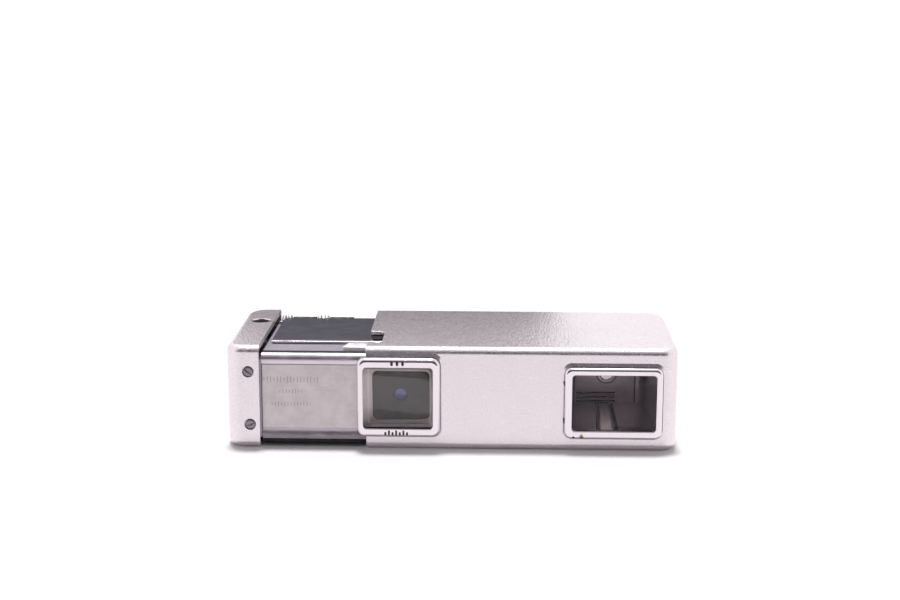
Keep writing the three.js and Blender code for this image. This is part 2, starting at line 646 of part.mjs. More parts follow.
// ---- thumbwheels at the back edge ----
function makeDials() {
  dials.forEach(({ name, flanges, drum, end }) => {
    const knurl = polygon(notchedWheel(1.6, 0.16, 16));
    const wheels = flanges.map(([x0, x1]) => thick('x', knurl, x0, x1));
    const axle = rod('x', 0.5, flanges[0][0], end, 0, 0, 12);
    const dial = join(axle, rod('x', 1.12, ...drum, 0, 0, 24), ...wheels);
    place(innerBody, name, dial.translate(0, dialY, dialZ), steel);
  });
  const cheeks = dials.map(({ drum }) => cut(
    box(drum[1] + 0.3, drum[1] + 1, 37.9, 40.3, 20.6, 23.2),
    rod('x', 0.6, drum[1], drum[1] + 2, dialY, dialZ, 12),
  ));
  const openings = dials.flatMap(({ flanges, drum }) => [
    box(flanges[0][0] - 0.4, flanges[1][1] + 0.15, 39, 42, 21, 24),
    box(drum[0] + 0.5, drum[1] - 0.4, 39, 42, dialZ - 0.7, dialZ + 0.7),
  ]);
  place(innerBody, 'dial_bridge', cut(
    join(box(bodyLeft + 0.2, 27.2, 40.12, 40.45, 20.65, 23.2), ...cheeks), ...openings), brushed);
}

makeCover();
makeFilter();
makeFinder();
makeRack();
makeSlide();
makeFrontPlate();
makeTopPlate();
makeBackPlate();
makeEndCap();
makeCapScrews();
makeRelease();
makeChassis();
makeUnderside();
makeBezel();
makeLens();
makeDiaphragm();
makeFilmPath();
makePinion();
makeDials();

export default camera;
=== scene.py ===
import math
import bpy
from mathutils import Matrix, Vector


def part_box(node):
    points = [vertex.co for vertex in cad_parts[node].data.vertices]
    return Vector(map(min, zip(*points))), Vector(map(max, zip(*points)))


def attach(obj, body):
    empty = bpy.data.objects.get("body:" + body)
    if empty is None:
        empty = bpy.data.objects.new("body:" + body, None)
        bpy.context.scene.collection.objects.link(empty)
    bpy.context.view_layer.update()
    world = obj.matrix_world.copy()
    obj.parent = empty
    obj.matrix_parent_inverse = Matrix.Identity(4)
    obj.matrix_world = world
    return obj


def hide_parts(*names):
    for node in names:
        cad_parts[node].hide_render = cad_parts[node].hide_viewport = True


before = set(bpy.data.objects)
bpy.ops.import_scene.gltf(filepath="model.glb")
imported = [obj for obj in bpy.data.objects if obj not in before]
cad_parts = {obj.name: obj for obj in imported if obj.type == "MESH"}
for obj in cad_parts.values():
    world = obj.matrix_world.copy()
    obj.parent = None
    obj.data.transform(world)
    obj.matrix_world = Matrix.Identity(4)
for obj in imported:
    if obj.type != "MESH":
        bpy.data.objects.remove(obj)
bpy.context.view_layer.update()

from types import SimpleNamespace

import bpy
import bmesh
from mathutils import Matrix, Vector

# Shapes are drawn in millimetres in the row frame and stored in metres.
MM = 0.001

# ---------------------------------------------------------------- sizes
WALL = 1.0               # cover sheet
CAP_WALL = 1.2           # cap sheet
EDGE_ROUND = 1.7         # long outer edges of cover and cap
END_ROUND = 4.0          # the two front corners seen from above
REAR_ROUND = 5.0         # the two rear corners seen from above
BREAK = 0.08             # broken edge on cut sheet metal
HALF_TURN = math.pi
FULL_TURN = 2 * math.pi
QUARTER_TURN = math.pi / 2

# ---------------------------------------------------------------- light
SKY = 1.04               # brightness that reflections and the camera see all round
SKY_COLOR = (1.0, 0.985, 1.0)
FILL = 0.32              # even light on matt surfaces
LAMP_POWER = 2.65
LAMP_WIDTH = 9           # degrees across
LAMP_BACK_TILT = 9       # degrees behind straight overhead

# Each screw's node and the angle of its slot in degrees.
SCREWS = {
    "cap_screw_front_upper": 35, "cap_screw_front_lower": -25,
    "cap_screw_rear_upper": 12, "cap_screw_rear_lower": 63,
}


def span(node):
    """A CAD node's box at rest, in millimetres."""
    low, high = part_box(node)
    (x0, y0, z0), (x1, y1, z1) = [[c / MM for c in corner] for corner in (low, high)]
    return SimpleNamespace(x0=x0, x1=x1, y0=y0, y1=y1, z0=z0, z1=z1,
                           x=(x0 + x1) / 2, y=(y0 + y1) / 2, z=(z0 + z1) / 2)


cover = span("outer_cover")
cap = span("end_cap")
plate = span("front_plate")
FACE_Y = cover.y0
lens_axis = span("lens_barrel")


# ---------------------------------------------------------------- mesh tools
def rounded_rect(a0, a1, b0, b1, radii, steps=10):
    """Points round a rectangle with rounded corners, anticlockwise from its low corner."""
    if not isinstance(radii, (list, tuple)):
        radii = [radii] * 4
    corners = [(a0, b0, 1, 1), (a1, b0, -1, 1), (a1, b1, -1, -1), (a0, b1, 1, -1)]
    points = []
    for quarter, ((a, b, right, up), radius) in enumerate(zip(corners, radii)):
        radius = max(radius, 0.002)
        for i in range(steps + 1):
            angle = HALF_TURN + (quarter + i / steps) * QUARTER_TURN
            points.append((a + right * radius + radius * math.cos(angle),
                           b + up * radius + radius * math.sin(angle)))
    return points


def rounded_polygon(corners, steps=6):
    """Points of a polygon of (a, b, radius) corners, each rounded by its radius."""
    points = []
    for i, (a, b, radius) in enumerate(corners):
        here = Vector((a, b))
        if radius == 0:
            points.append((a, b))
            continue
        before = (Vector(corners[i - 1][:2]) - here).normalized()
        after = (Vector(corners[(i + 1) % len(corners)][:2]) - here).normalized()
        half = before.angle(after) / 2
        centre = here + (before + after).normalized() * radius / math.sin(half)
        start = here + before * radius / math.tan(half) - centre
        end = here + after * radius / math.tan(half) - centre
        first = math.atan2(start.y, start.x)
        sweep = (math.atan2(end.y, end.x) - first + HALF_TURN) % FULL_TURN - HALF_TURN
        points += [(centre.x + radius * math.cos(first + sweep * k / steps),
                    centre.y + radius * math.sin(first + sweep * k / steps)) for k in range(steps + 1)]
    return points


def circle(a, b, radius, steps=64):
    turns = [FULL_TURN * i / steps for i in range(steps)]
    return [(a + radius * math.cos(t), b + radius * math.sin(t)) for t in turns]


def quarter(steps):
    """Angles from nought to a quarter turn."""
    return [QUARTER_TURN * i / steps for i in range(steps + 1)]


def lift(axis, points, level):
    """Flat points set at a level along an axis, as places in space."""
    if axis == "x":
        return [(level, a, b) for a, b in points]
    if axis == "y":
        return [(a, level, b) for a, b in points]
    return [(a, b, level) for a, b in points]


def mesh_object(name, points, faces):
    mesh = bpy.data.meshes.new(name)
    mesh.from_pydata([[c * MM for c in point] for point in points], [], faces)
    work = bmesh.new()
    work.from_mesh(mesh)
    bmesh.ops.recalc_face_normals(work, faces=work.faces)
    work.to_mesh(mesh)
    work.free()
    piece = bpy.data.objects.new(name, mesh)
    bpy.context.scene.collection.objects.link(piece)
    return piece


def loft(name, loops, ring=False):
    """A skin through loops of equally many points, closed end to end or capped."""
    count = len(loops[0])
    points = [point for loop in loops for point in loop]
    faces = []
    for k in range(len(loops) if ring else len(loops) - 1):
        low, high = k * count, (k + 1) % len(loops) * count
        for i in range(count):
            j = (i + 1) % count
            faces.append((low + i, low + j, high + j, high + i))
    if not ring:
        faces.append(tuple(range(count)))
        faces.append(tuple(range(len(points) - count, len(points))))
    return mesh_object(name, points, faces)


def block(name, outline, axis, low, high, soft=0.0, steps=6):
    """A thick flat shape with rounded rims. outline(inset) gives its points, drawn in by inset."""
    if soft == 0:
        return loft(name, [lift(axis, outline(0), level) for level in (low, high)])
    loops = []
    for turn in quarter(steps):
        loops.append(lift(axis, outline(soft * (1 - math.sin(turn))), low + soft * (1 - math.cos(turn))))
    for turn in quarter(steps):
        loops.append(lift(axis, outline(soft * (1 - math.cos(turn))), high - soft * (1 - math.sin(turn))))
    return loft(name, loops)


def rect_outline(a0, a1, b0, b1, radii, steps=10):
    radii = radii if isinstance(radii, (list, tuple)) else [radii] * 4

    def outline(inset):
        return rounded_rect(a0 + inset, a1 - inset, b0 + inset, b1 - inset,
                            [max(r - inset, 0) for r in radii], steps)
    return outline


def strokes(name, axis, level, thick, marks):
    """Many small flat marks as one mesh; each is (a0, a1, b0, b1), rounded at its ends."""
    points, faces = [], []
    for a0, a1, b0, b1 in marks:
        outline = rounded_rect(a0, a1, b0, b1, min(a1 - a0, b1 - b0) * 0.45, 3)
        start, count = len(points), len(outline)
        points += lift(axis, outline, level) + lift(axis, outline, level - thick)
        faces += [tuple(range(start, start + count)), tuple(range(start + count, start + 2 * count))]
        faces += [(start + i, start + (i + 1) % count, start + count + (i + 1) % count, start + count + i)
                  for i in range(count)]
    return mesh_object(name, points, faces)


def turned(name, axis, profile, a, b, steps=64):
    """A profile of (radius, place) points turned about an axis; it closes on itself or on the axis."""
    points, rows = [], []
    for radius, place in profile:
        ring = [(a, b)] if radius < 1e-6 else circle(a, b, radius, steps)
        rows.append(list(range(len(points), len(points) + len(ring))))
        points += lift(axis, ring, place)
    faces = []
    closed = profile[0][0] > 1e-6
    pairs = list(zip(rows, rows[1:])) + ([(rows[-1], rows[0])] if closed else [])
    for low, high in pairs:
        for i in range(steps):
            j = (i + 1) % steps
            corners = [low[i % len(low)], low[j % len(low)], high[j % len(high)], high[i % len(high)]]
            corners = list(dict.fromkeys(corners))
            if len(corners) > 2:
                faces.append(corners)
    return mesh_object(name, points, faces)


def rod(name, axis, radius, low, high, a, b, steps=64):
    return turned(name, axis, [(0, low), (radius, low), (radius, high), (0, high)], a, b, steps)


def baked(piece):
    """Applies the piece's modifiers."""
    graph = bpy.context.evaluated_depsgraph_get()
    mesh = bpy.data.meshes.new_from_object(piece.evaluated_get(graph))
    piece.modifiers.clear()
    piece.data = mesh
    return piece


def cut(piece, tools):
    """Cuts the tools' shapes out of the piece and removes them."""
    for tool in tools:
        change = piece.modifiers.new("cut", "BOOLEAN")
        change.operation = "DIFFERENCE"
        change.solver = "EXACT"
        change.object = tool
        bpy.context.view_layer.update()
        baked(piece)
        bpy.data.objects.remove(tool)


def smooth(piece, angle=35):
    piece.data.shade_smooth()
    piece.data.set_sharp_from_angle(angle=math.radians(angle))
    return piece


def soften(piece, width=BREAK, segments=2, angle=38):
    """Breaks the sharp edges of a finished shape."""
    edge = piece.modifiers.new("edge", "BEVEL")
    edge.width = width * MM
    edge.segments = segments
    edge.limit_method = "ANGLE"
    edge.angle_limit = math.radians(angle)
    edge.use_clamp_overlap = True
    baked(piece)
    smooth(piece, 60)
    weigh = piece.modifiers.new("weigh", "WEIGHTED_NORMAL")
    weigh.keep_sharp = True
    return piece


def settle(piece, body, nodes, material):
    """Gives a piece its finish and puts it on its body in place of its CAD nodes."""
    if material is not None and not piece.data.materials:
        piece.data.materials.append(material)
    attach(piece, body)
    if nodes:
        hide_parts(*nodes)
    return piece


# ---------------------------------------------------------------- material tools
class Shader:
    """A Principled material and short ways to add pattern nodes to it."""

    def __init__(self, name, color=(0.5, 0.5, 0.5), metallic=0.0, roughness=0.5, **sockets):
        self.material = bpy.data.materials.new(name)
        self.material.use_nodes = True
        self.tree = self.material.node_tree
        self.surface = self.tree.nodes["Principled BSDF"]
        self.place = self.tree.nodes.new("ShaderNodeTexCoord").outputs["Object"]
        self.set("Base Color", (*color, 1))
        self.set("Metallic", metallic)
        self.set("Roughness", roughness)
        for socket, value in sockets.items():
            self.set(socket.replace("_", " "), value)

    def set(self, socket, value):
        self.surface.inputs[socket].default_value = value

    def feed(self, socket, output):
        self.tree.links.new(output, self.surface.inputs[socket])

    def node(self, kind, **inputs):
        made = self.tree.nodes.new(kind)
        for socket, value in inputs.items():
            target = made.inputs[socket.replace("_", " ")]
            if isinstance(value, bpy.types.NodeSocket):
                self.tree.links.new(value, target)
            else:
                target.default_value = value
        return made

    def noise(self, size, stretch=(1, 1, 1), detail=2.0, shift=0.0):
        """Noise with features of about size millimetres, drawn out by stretch along each axis."""
        scale = [1 / (size * MM * s) for s in stretch]
        spread = self.node("ShaderNodeMapping", Vector=self.place, Scale=scale, Location=(shift,) * 3)
        return self.node("ShaderNodeTexNoise", Vector=spread.outputs[0], Scale=1.0, Detail=detail).outputs[0]

    def ramp(self, value, *stops):
        """Maps a value through (place, grey or colour) stops."""
        made = self.tree.nodes.new("ShaderNodeValToRGB")
        self.tree.links.new(value, made.inputs[0])
        elements = made.color_ramp.elements
        while len(elements) < len(stops):
            elements.new(0.5)
        for element, (position, tone) in zip(elements, stops):
            element.position = position
            element.color = (*tone, 1) if isinstance(tone, (list, tuple)) else (tone, tone, tone, 1)
        return made.outputs[0]

    def mix(self, factor, first, second):
        made = self.tree.nodes.new("ShaderNodeMix")
        made.data_type = "RGBA"
        for socket, value in ((made.inputs[0], factor), (made.inputs[6], first), (made.inputs[7], second)):
            if isinstance(value, bpy.types.NodeSocket):
                self.tree.links.new(value, socket)
            elif isinstance(value, (tuple, list)):
                socket.default_value = (*value, 1)
            else:
                socket.default_value = value
        return made.outputs[2]

    def math(self, operation, first, second=0.0):
        made = self.tree.nodes.new("ShaderNodeMath")
        made.operation = operation
        for socket, value in zip(made.inputs, (first, second)):
            if isinstance(value, bpy.types.NodeSocket):
                self.tree.links.new(value, socket)
            else:
                socket.default_value = value
        return made.outputs[0]

    def along(self, axis, length):
        """Place along an axis (0, 1, 2 for x, y, z) as a share of a length in millimetres."""
        place = self.node("ShaderNodeSeparateXYZ", Vector=self.place).outputs[axis]
        return self.math("MULTIPLY", place, 1 / (length * MM))

    def bump(self, height, depth, strength):
        """Surface relief, depth in millimetres."""
        made = self.node("ShaderNodeBump", Height=height, Strength=strength, Distance=depth * MM)
        self.feed("Normal", made.outputs[0])


def frosted_metal():
    """Bead-blasted alloy with a tight grain and faint handling marks, coarser on the upper faces."""
    s = Shader("frosted_metal", (0.80, 0.73, 0.76), metallic=1.0, roughness=0.36)
    grain = s.noise(0.42, detail=4)
    cloud = s.noise(9, detail=3, shift=3)
    marks = s.noise(0.9, stretch=(6, 1, 1), detail=2, shift=7)
    tone = s.mix(s.ramp(grain, (0.3, 0.0), (0.7, 1.0)), (0.735, 0.67, 0.70), (0.86, 0.79, 0.82))
    tone = s.mix(s.ramp(cloud, (0.35, 0.0), (0.7, 0.35)), tone, (0.76, 0.69, 0.72))
    upper = s.ramp(s.along(2, 50), (0.492, 0.0), (0.498, 1.0))
    wear = s.noise(0.42, stretch=(1, 3.2, 1), detail=2, shift=13)
    s.feed("Base Color", tone)
    rubbed = (0.24, 0.24, 0.24)
    rough = s.ramp(grain, (0.2, 0.24), (0.8, 0.40))
    s.feed("Roughness", s.mix(s.ramp(marks, (0.55, 0.0), (0.75, 0.5)), rough, rubbed))
    coarse = s.ramp(wear, (0.3, 0.0), (0.7, 1.0))
    s.bump(s.mix(upper, grain, s.math("MULTIPLY", coarse, 1.8)), 0.06, 0.75)
    return s.material


def satin_panel():
    """Drawn alloy: fine lines along the camera with dull stains and a few scratches."""
    s = Shader("satin_panel", (0.55, 0.52, 0.51), metallic=1.0, roughness=0.33)
    lines = s.noise(0.07, stretch=(60, 1, 1), detail=3)
    stains = s.noise(3.2, detail=4, shift=4)
    scratches = s.noise(0.25, stretch=(14, 1, 0.6), detail=1, shift=11)
    tone = s.mix(s.ramp(stains, (0.38, 0.0), (0.66, 1.0)), (0.455, 0.40, 0.415), (0.57, 0.515, 0.53))
    tone = s.mix(s.ramp(lines, (0.3, 0.0), (0.75, 0.3)), tone, (0.66, 0.60, 0.62))
    tone = s.mix(s.ramp(scratches, (0.7, 0.0), (0.76, 0.5)), tone, (0.78, 0.76, 0.75))
    s.feed("Base Color", tone)
    s.feed("Roughness", s.ramp(stains, (0.3, 0.27), (0.7, 0.42)))
    s.bump(lines, 0.004, 0.5)
    return s.material


def bright_metal(name, color, roughness, pits=0.5):
    """Polished or plated metal with hairlines and a few small pits."""
    s = Shader(name, color, metallic=1.0, roughness=roughness)
    hairs = s.noise(0.12, stretch=(12, 1, 1.5), detail=2)
    smear = s.noise(2.5, detail=3, shift=5)
    speck = s.noise(0.35, detail=1, shift=9)
    dull = tuple(c * 0.62 for c in color)
    s.feed("Base Color", s.mix(s.ramp(speck, (0.74, 0.0), (0.8, pits)), color, dull))
    smeared = roughness * 1.7 + 0.03
    s.feed("Roughness", s.mix(s.ramp(smear, (0.4, 0.0), (0.7, 0.6)), (roughness,) * 3, (smeared,) * 3))
    s.bump(hairs, 0.0012, 0.4)
    return s.material


def slate_paint():
    """Dark semi-matt paint with lengthwise rubbing."""
    s = Shader("slate_paint", (0.05, 0.05, 0.065), roughness=0.4, Specular_IOR_Level=0.6)
    rub = s.noise(0.3, stretch=(30, 1.5, 1), detail=3)
    cloud = s.noise(4, detail=3, shift=2)
    worn = s.ramp(rub, (0.35, 0.0), (0.75, 1.0))
    s.feed("Base Color", s.mix(worn, (0.046, 0.044, 0.06), (0.098, 0.093, 0.12)))
    s.feed("Roughness", s.ramp(cloud, (0.3, 0.3), (0.7, 0.46)))
    s.feed("Metallic", s.ramp(rub, (0.4, 0.35), (0.8, 0.7)))
    s.bump(rub, 0.003, 0.4)
    return s.material


def plain_metal(name, color, roughness, grain_size, depth):
    """Cast or turned metal with an even grain."""
    s = Shader(name, color, metallic=1.0, roughness=roughness)
    grain = s.noise(grain_size, detail=4)
    low = tuple(c * 0.8 for c in color)
    s.feed("Base Color", s.mix(s.ramp(grain, (0.3, 0.0), (0.7, 1.0)), low, color))
    s.feed("Roughness", s.ramp(grain, (0.3, roughness * 0.8), (0.7, roughness * 1.2)))
    s.bump(grain, depth, 0.5)
    return s.material


def dark_finish(name, color, roughness, grain_size=0.2, depth=0.006, shine=0.5):
    """Matt black or brown finish with a slight grain and dust."""
    s = Shader(name, color, roughness=roughness, Specular_IOR_Level=shine)
    grain = s.noise(grain_size, detail=3)
    dust = s.noise(1.2, detail=5, shift=6)
    lighter = tuple(min(1, c * 1.5 + 0.01) for c in color)
    s.feed("Base Color", s.mix(s.ramp(dust, (0.45, 0.0), (0.75, 1.0)), color, lighter))
    s.feed("Roughness", s.ramp(grain, (0.3, roughness * 0.85), (0.7, min(1, roughness * 1.15))))
    s.bump(grain, depth, 0.5)
    return s.material


def glass(name, tint, **sockets):
    s = Shader(name, tint, roughness=0.01, Transmission_Weight=1.0, **{"IOR": 1.5, **sockets})
    smear = s.noise(2.0, detail=2, shift=8)
    s.bump(smear, 0.0006, 0.2)
    return s.material


FROSTED = frosted_metal()
SATIN = satin_panel()
CHROME = bright_metal("plated_chrome", (0.82, 0.75, 0.785), 0.12)
RAIL = bright_metal("polished_rail", (0.66, 0.595, 0.65), 0.28, 0.7)
TAB = bright_metal("crowned_tab", (0.9, 0.86, 0.9), 0.4, 0.2)
ENGRAVED = bright_metal("engraved_line", (0.26, 0.245, 0.25), 0.4)
SCREW = bright_metal("dark_screw_steel", (0.24, 0.21, 0.235), 0.24)
STEEL = bright_metal("bright_steel", (0.74, 0.73, 0.74), 0.2)
SHADE = bright_metal("shaded_steel", (0.17, 0.15, 0.16), 0.3)
WHEEL = bright_metal("wheel_steel", (0.5, 0.47, 0.5), 0.3)
SLATE = slate_paint()
CASTING = plain_metal("die_casting", (0.42, 0.395, 0.445), 0.5, 0.3, 0.01)
BRASS = plain_metal("turned_brass", (0.62, 0.46, 0.2), 0.3, 0.15, 0.003)
TARNISH = plain_metal("tarnished_brass", (0.42, 0.36, 0.22), 0.4, 0.15, 0.004)
FERRULE = plain_metal("aged_ferrule", (0.5, 0.43, 0.40), 0.35, 0.2, 0.004)
BEZEL = plain_metal("bezel_grey", (0.50, 0.435, 0.42), 0.34, 0.35, 0.006)
# Black felt-like finish that paints shade in grooves and under the cover's lip.
PAINTED_SHADE = dark_finish("black_painted_shade", (0.006, 0.006, 0.006), 0.95, 0.12, 0.04)
BLACK = dark_finish("black_finish", (0.018, 0.018, 0.02), 0.55)
# Dark brown for the release knob, and painted shade on the release ring's inner wall.
BROWN = dark_finish("brown_moulding_and_shade", (0.045, 0.036, 0.034), 0.75)
LENS_PLATE = dark_finish("lens_plate_finish", (0.037, 0.024, 0.02), 0.5)
PLASTIC = dark_finish("black_moulding", (0.02, 0.02, 0.021), 0.42)
FILM = dark_finish("film_base", (0.05, 0.03, 0.04), 0.25)
# Blackened inside of cover and cap, and painted shade in the screw counterbores.
INTERIOR = dark_finish("blackened_inside_and_shade", (0.016, 0.013, 0.0125), 0.45, shine=0.25)
SMOKED = glass("smoked_eyepiece", (0.5, 0.46, 0.46))
CLEAR = glass("clear_glass", (0.97, 0.96, 0.98))
FINDER_GLASS = glass("finder_glass", (0.95, 0.93, 0.945), Specular_Tint=(0.32, 0.29, 0.32, 1))
COATED = glass("coated_glass", (0.80, 0.80, 0.98), IOR=1.9, Specular_Tint=(0.42, 0.42, 1.0, 1))
# Black for index marks and chipped plating, and painted shade round the window frames.
INK_AND_SHADE = dark_finish("black_ink_and_shade", (0.01, 0.01, 0.011), 0.45)
NUMERAL = dark_finish("white_numeral", (0.75, 0.75, 0.72), 0.5)


# ---------------------------------------------------------------- cover
def make_cover():
    over = 6             # length past the open end, trimmed away below
    shell = block("cover_shell", rect_outline(cover.x0 - over, cover.x1, cover.y0, cover.y1,
                                              [0, END_ROUND, REAR_ROUND, 0], 20),
                  "z", cover.z0, cover.z1, soft=EDGE_ROUND, steps=8)
    shell.data.materials.append(FROSTED)
    edge, left, deep = cover.x0, cover.x0 - over - 1, cover.x0 + 3.5
    inner_round = END_ROUND - WALL
    hollow = block("hollow", rect_outline(left, cover.x1 - WALL, cover.y0 + WALL, cover.y1 - WALL,
                                          [0, inner_round, inner_round, 0], 12),
                   "z", cover.z0 + WALL, cover.z1 - WALL, soft=0.3, steps=3)
    hollow.data.materials.append(INTERIOR)
    front, back = cover.y0 + 4.8, cover.y0 + 16.7
    low_trim = block("low_trim", rect_outline(left, edge, cover.y0 - 1, cover.y1 + 1, 0, 1),
                     "z", cover.z0 - 1, cover.z1 - 3)
    notched = rounded_polygon([(left, cover.y0 - 1, 0), (edge, cover.y0 - 1, 0), (edge, front, 0.5),
                               (deep, front, 0.6), (deep, back, 1.3), (edge, back, 0.6),
                               (edge, cover.y1 + 1, 0), (left, cover.y1 + 1, 0)])
    top_trim = loft("top_trim", [lift("z", notched, level) for level in (cover.z1 - 3, cover.z1 + 1)])
    pane = span("filter_glass")
    lens_outline = rect_outline(cover.x0 - over, pane.x1 - 0.15, pane.z0, pane.z1 + 0.35, 0.8, 8)
    lens_hole = block("lens_hole", lens_outline, "y", FACE_Y - 1, FACE_Y + WALL + 1)
    finder = span("finder_frame")
    finder_outline = rect_outline(finder.x0 + 1.1, finder.x1 - 0.8, finder.z0 + 1.3, finder.z1 - 1.5, 0.8, 8)
    finder_hole = block("finder_hole", finder_outline, "y", FACE_Y - 1, FACE_Y + WALL + 1)
    eye = span("eyepiece_ring")
    eye_hole = rod("eye_hole", "y", 3.3, cover.y1 - WALL - 1, cover.y1 + 1, eye.x, eye.z)
    cut(shell, [low_trim, top_trim, hollow, lens_hole, finder_hole, eye_hole])
    soften(shell, 0.12, 3)
    settle(shell, "outer_cover", ["outer_cover"], FROSTED)
    for node in ("filter_frame", "finder_frame"):
        make_raised_seat(node)
    make_finder_inside(eye)


def make_raised_seat(node):
    """The cover's sheet slopes gently outward to a low seat round each window frame."""
    frame_box = span(node)
    reach, height = 1.05, 0.36

    def ring(grow, radius):
        side, under = (grow * 0.35, grow * 0.15) if grow > 0.2 else (grow, grow)
        corners = rounded_rect(frame_box.x0 - side, frame_box.x1 + side,
                               frame_box.z0 - under, frame_box.z1 + grow, radius, 10)
        return [(max(x, cover.x0 + 0.1), z) for x, z in corners]

    loops = []
    for t, rise in ((0, 0), (0.06, 0.02), (0.14, 0.1), (0.5, 0.5), (0.86, 0.9), (0.94, 0.98), (1, 1)):
        grow = reach * (1 - t)
        loops.append(lift("y", ring(grow, 2), FACE_Y + 0.02 - height * rise))
    loops += [lift("y", ring(-0.5, 1.5), FACE_Y + level) for level in (-height, 0.05)]
    loops.append(lift("y", ring(reach, 2), FACE_Y + 0.05))
    seat = loft(f"{node}_seat", loops, ring=True)
    settle(smooth(seat, 50), "outer_cover", [], FROSTED)
    # A thin black ring at the frame's foot is painted shade, the shadow line between frame and seat.
    shadow_ring = loft(f"{node}_gap", [lift("y", ring(grow, 2.0 + grow), FACE_Y - height - rise)
                               for grow, rise in ((0.13, -0.1), (0.13, 0.015), (-0.3, 0.015), (-0.3, -0.1))],
               ring=True)
    settle(shadow_ring, "outer_cover", [], INK_AND_SHADE)


def lining_with_painted_light():
    """Blackened lining with a bright metallic lane under the eyepiece: the lane is painted light where the
    eyepiece's light falls on the floor.
    """
    s = Shader("lining_with_painted_light", (0.02, 0.017, 0.016), roughness=0.25)
    light_pool = s.ramp(s.along(0, 60), (0.588, 0.0), (0.603, 1.0), (0.650, 1.0), (0.666, 0.0))
    streaks = s.noise(0.5, stretch=(1, 20, 1), detail=2)
    bright = s.mix(streaks, (0.7, 0.6, 0.58), (0.9, 0.8, 0.78))
    s.feed("Base Color", s.mix(light_pool, (0.014, 0.0115, 0.011), bright))
    s.feed("Metallic", light_pool)
    return s.material


def make_finder_inside(eye):
    """What shows through the finder: a flange, three ribs, a rod and a lined floor."""
    wall = cover.y1 - WALL
    flange = turned("eyepiece_flange", "y", [(3.3, wall + 0.1), (3.3, wall - 0.18), (3.5, wall - 0.22),
                                             (4.05, wall - 0.22), (4.2, wall - 0.15), (4.2, wall + 0.1)],
                    eye.x, eye.z, 72)
    settle(smooth(flange), "outer_cover", [], FERRULE)
    for i, level in enumerate((1.45, 3.0, 4.6)):
        rib = block(f"rear_rib_{i + 1}", rect_outline(26.9, 42, level - 0.35, level + 0.35, 0.3, 4),
                    "y", wall - 0.22, wall + 0.1, soft=0.15, steps=3)
        settle(smooth(rib), "outer_cover", [], INTERIOR)
    post = rod("rear_post", "z", 0.22, cover.z0 + WALL, cover.z1 - WALL, 49.35, wall, 24)
    settle(smooth(post, 50), "outer_cover", [], SHADE)
    # The lining carries a painted pool of light under the eyepiece.
    lining = block("floor_lining", rect_outline(34.5, 41, cover.y0 + 1.6, cover.y1 - 1.6, 1, 4),
                   "z", cover.z0 + WALL - 0.05, cover.z0 + WALL + 0.012)
    settle(lining, "outer_cover", [], lining_with_painted_light())


def make_window_frame(name, node, opening, corner, inner_corner, rim):
    """A proud plated frame: full rounded outer rim, flat face, small rounded inner lip."""
    edge = span(node)
    lip = 0.2
    face, back = edge.y0 + 0.03, FACE_Y - 0.03
    loops = []

    def outer(inset, level):
        outline = rounded_rect(edge.x0 + inset, edge.x1 - inset, edge.z0 + inset, edge.z1 - inset,
                               corner - inset * 0.6, 14)
        loops.append(lift("y", outline, level))

    def inner(grow, level):
        x0, x1, z0, z1 = opening
        outline = rounded_rect(x0 - grow, x1 + grow, z0 - grow, z1 + grow, inner_corner + grow, 14)
        loops.append(lift("y", outline, level))

    outer(0, back)
    for turn in quarter(9):
        outer(rim * (1 - math.cos(turn)), face + rim * (1 - math.sin(turn)))
    outer(rim + 0.1, face)
    inner(lip + 0.1, face)
    for turn in quarter(4):
        inner(lip * (1 - math.sin(turn)), face + lip * (1 - math.cos(turn)))
    inner(0, back)
    return smooth(loft(name, loops, ring=True), 50)


def make_filter():
    edge = span("filter_frame")
    x0, x1, z0, z1 = opening = (edge.x0 + 1.5, edge.x1 - 1.75, edge.z0 + 2.15, edge.z1 - 2.25)
    ring = make_window_frame("filter_ring", "filter_frame", opening, 2.0, 0.9, 1.0)
    settle(ring, "outer_cover", ["filter_frame"], CHROME)
    pane = span("filter_glass")
    disc = block("filter_pane", rect_outline(pane.x0, pane.x1, pane.z0, pane.z1, 0.8, 8),
                 "y", pane.y0, pane.y1, soft=0.05, steps=2)
    settle(smooth(disc), "outer_cover", ["filter_glass"], CLEAR)
    # A black gasket between pane and cover; its black also paints the shade in the gap round the window's
    # edge.
    inner = rounded_rect(x0 + 0.02, x1 - 0.02, z0 + 0.3, z1 - 0.02, 0.8, 8)
    outer = rounded_rect(x0 - 0.6, x1 + 0.6, z0 - 0.6, z1 + 0.6, 1.4, 8)
    front, back = pane.y1 + 0.02, FACE_Y - 0.05
    gasket_and_shade = loft("filter_gasket", [lift("y", outer, front), lift("y", inner, front), lift("y", inner, back),
                                    lift("y", outer, back)], ring=True)
    settle(gasket_and_shade, "outer_cover", [], INK_AND_SHADE)
    bars = []
    for i in range(3):
        left = -14.35 + 1.3 * i
        bars.append((left, left + 0.62, z1 + 0.5, z1 + 1.75))
    for i in range(7):
        middle = edge.x + i * 0.86 - 3.1
        bars.append((middle - 0.24, middle + 0.24, z0 - 1.6, z0 - (0.35 if i % 2 else 0.75)))
    settle(strokes("filter_index", "y", edge.y0 + 0.05, 0.04, bars), "outer_cover", [], INK_AND_SHADE)


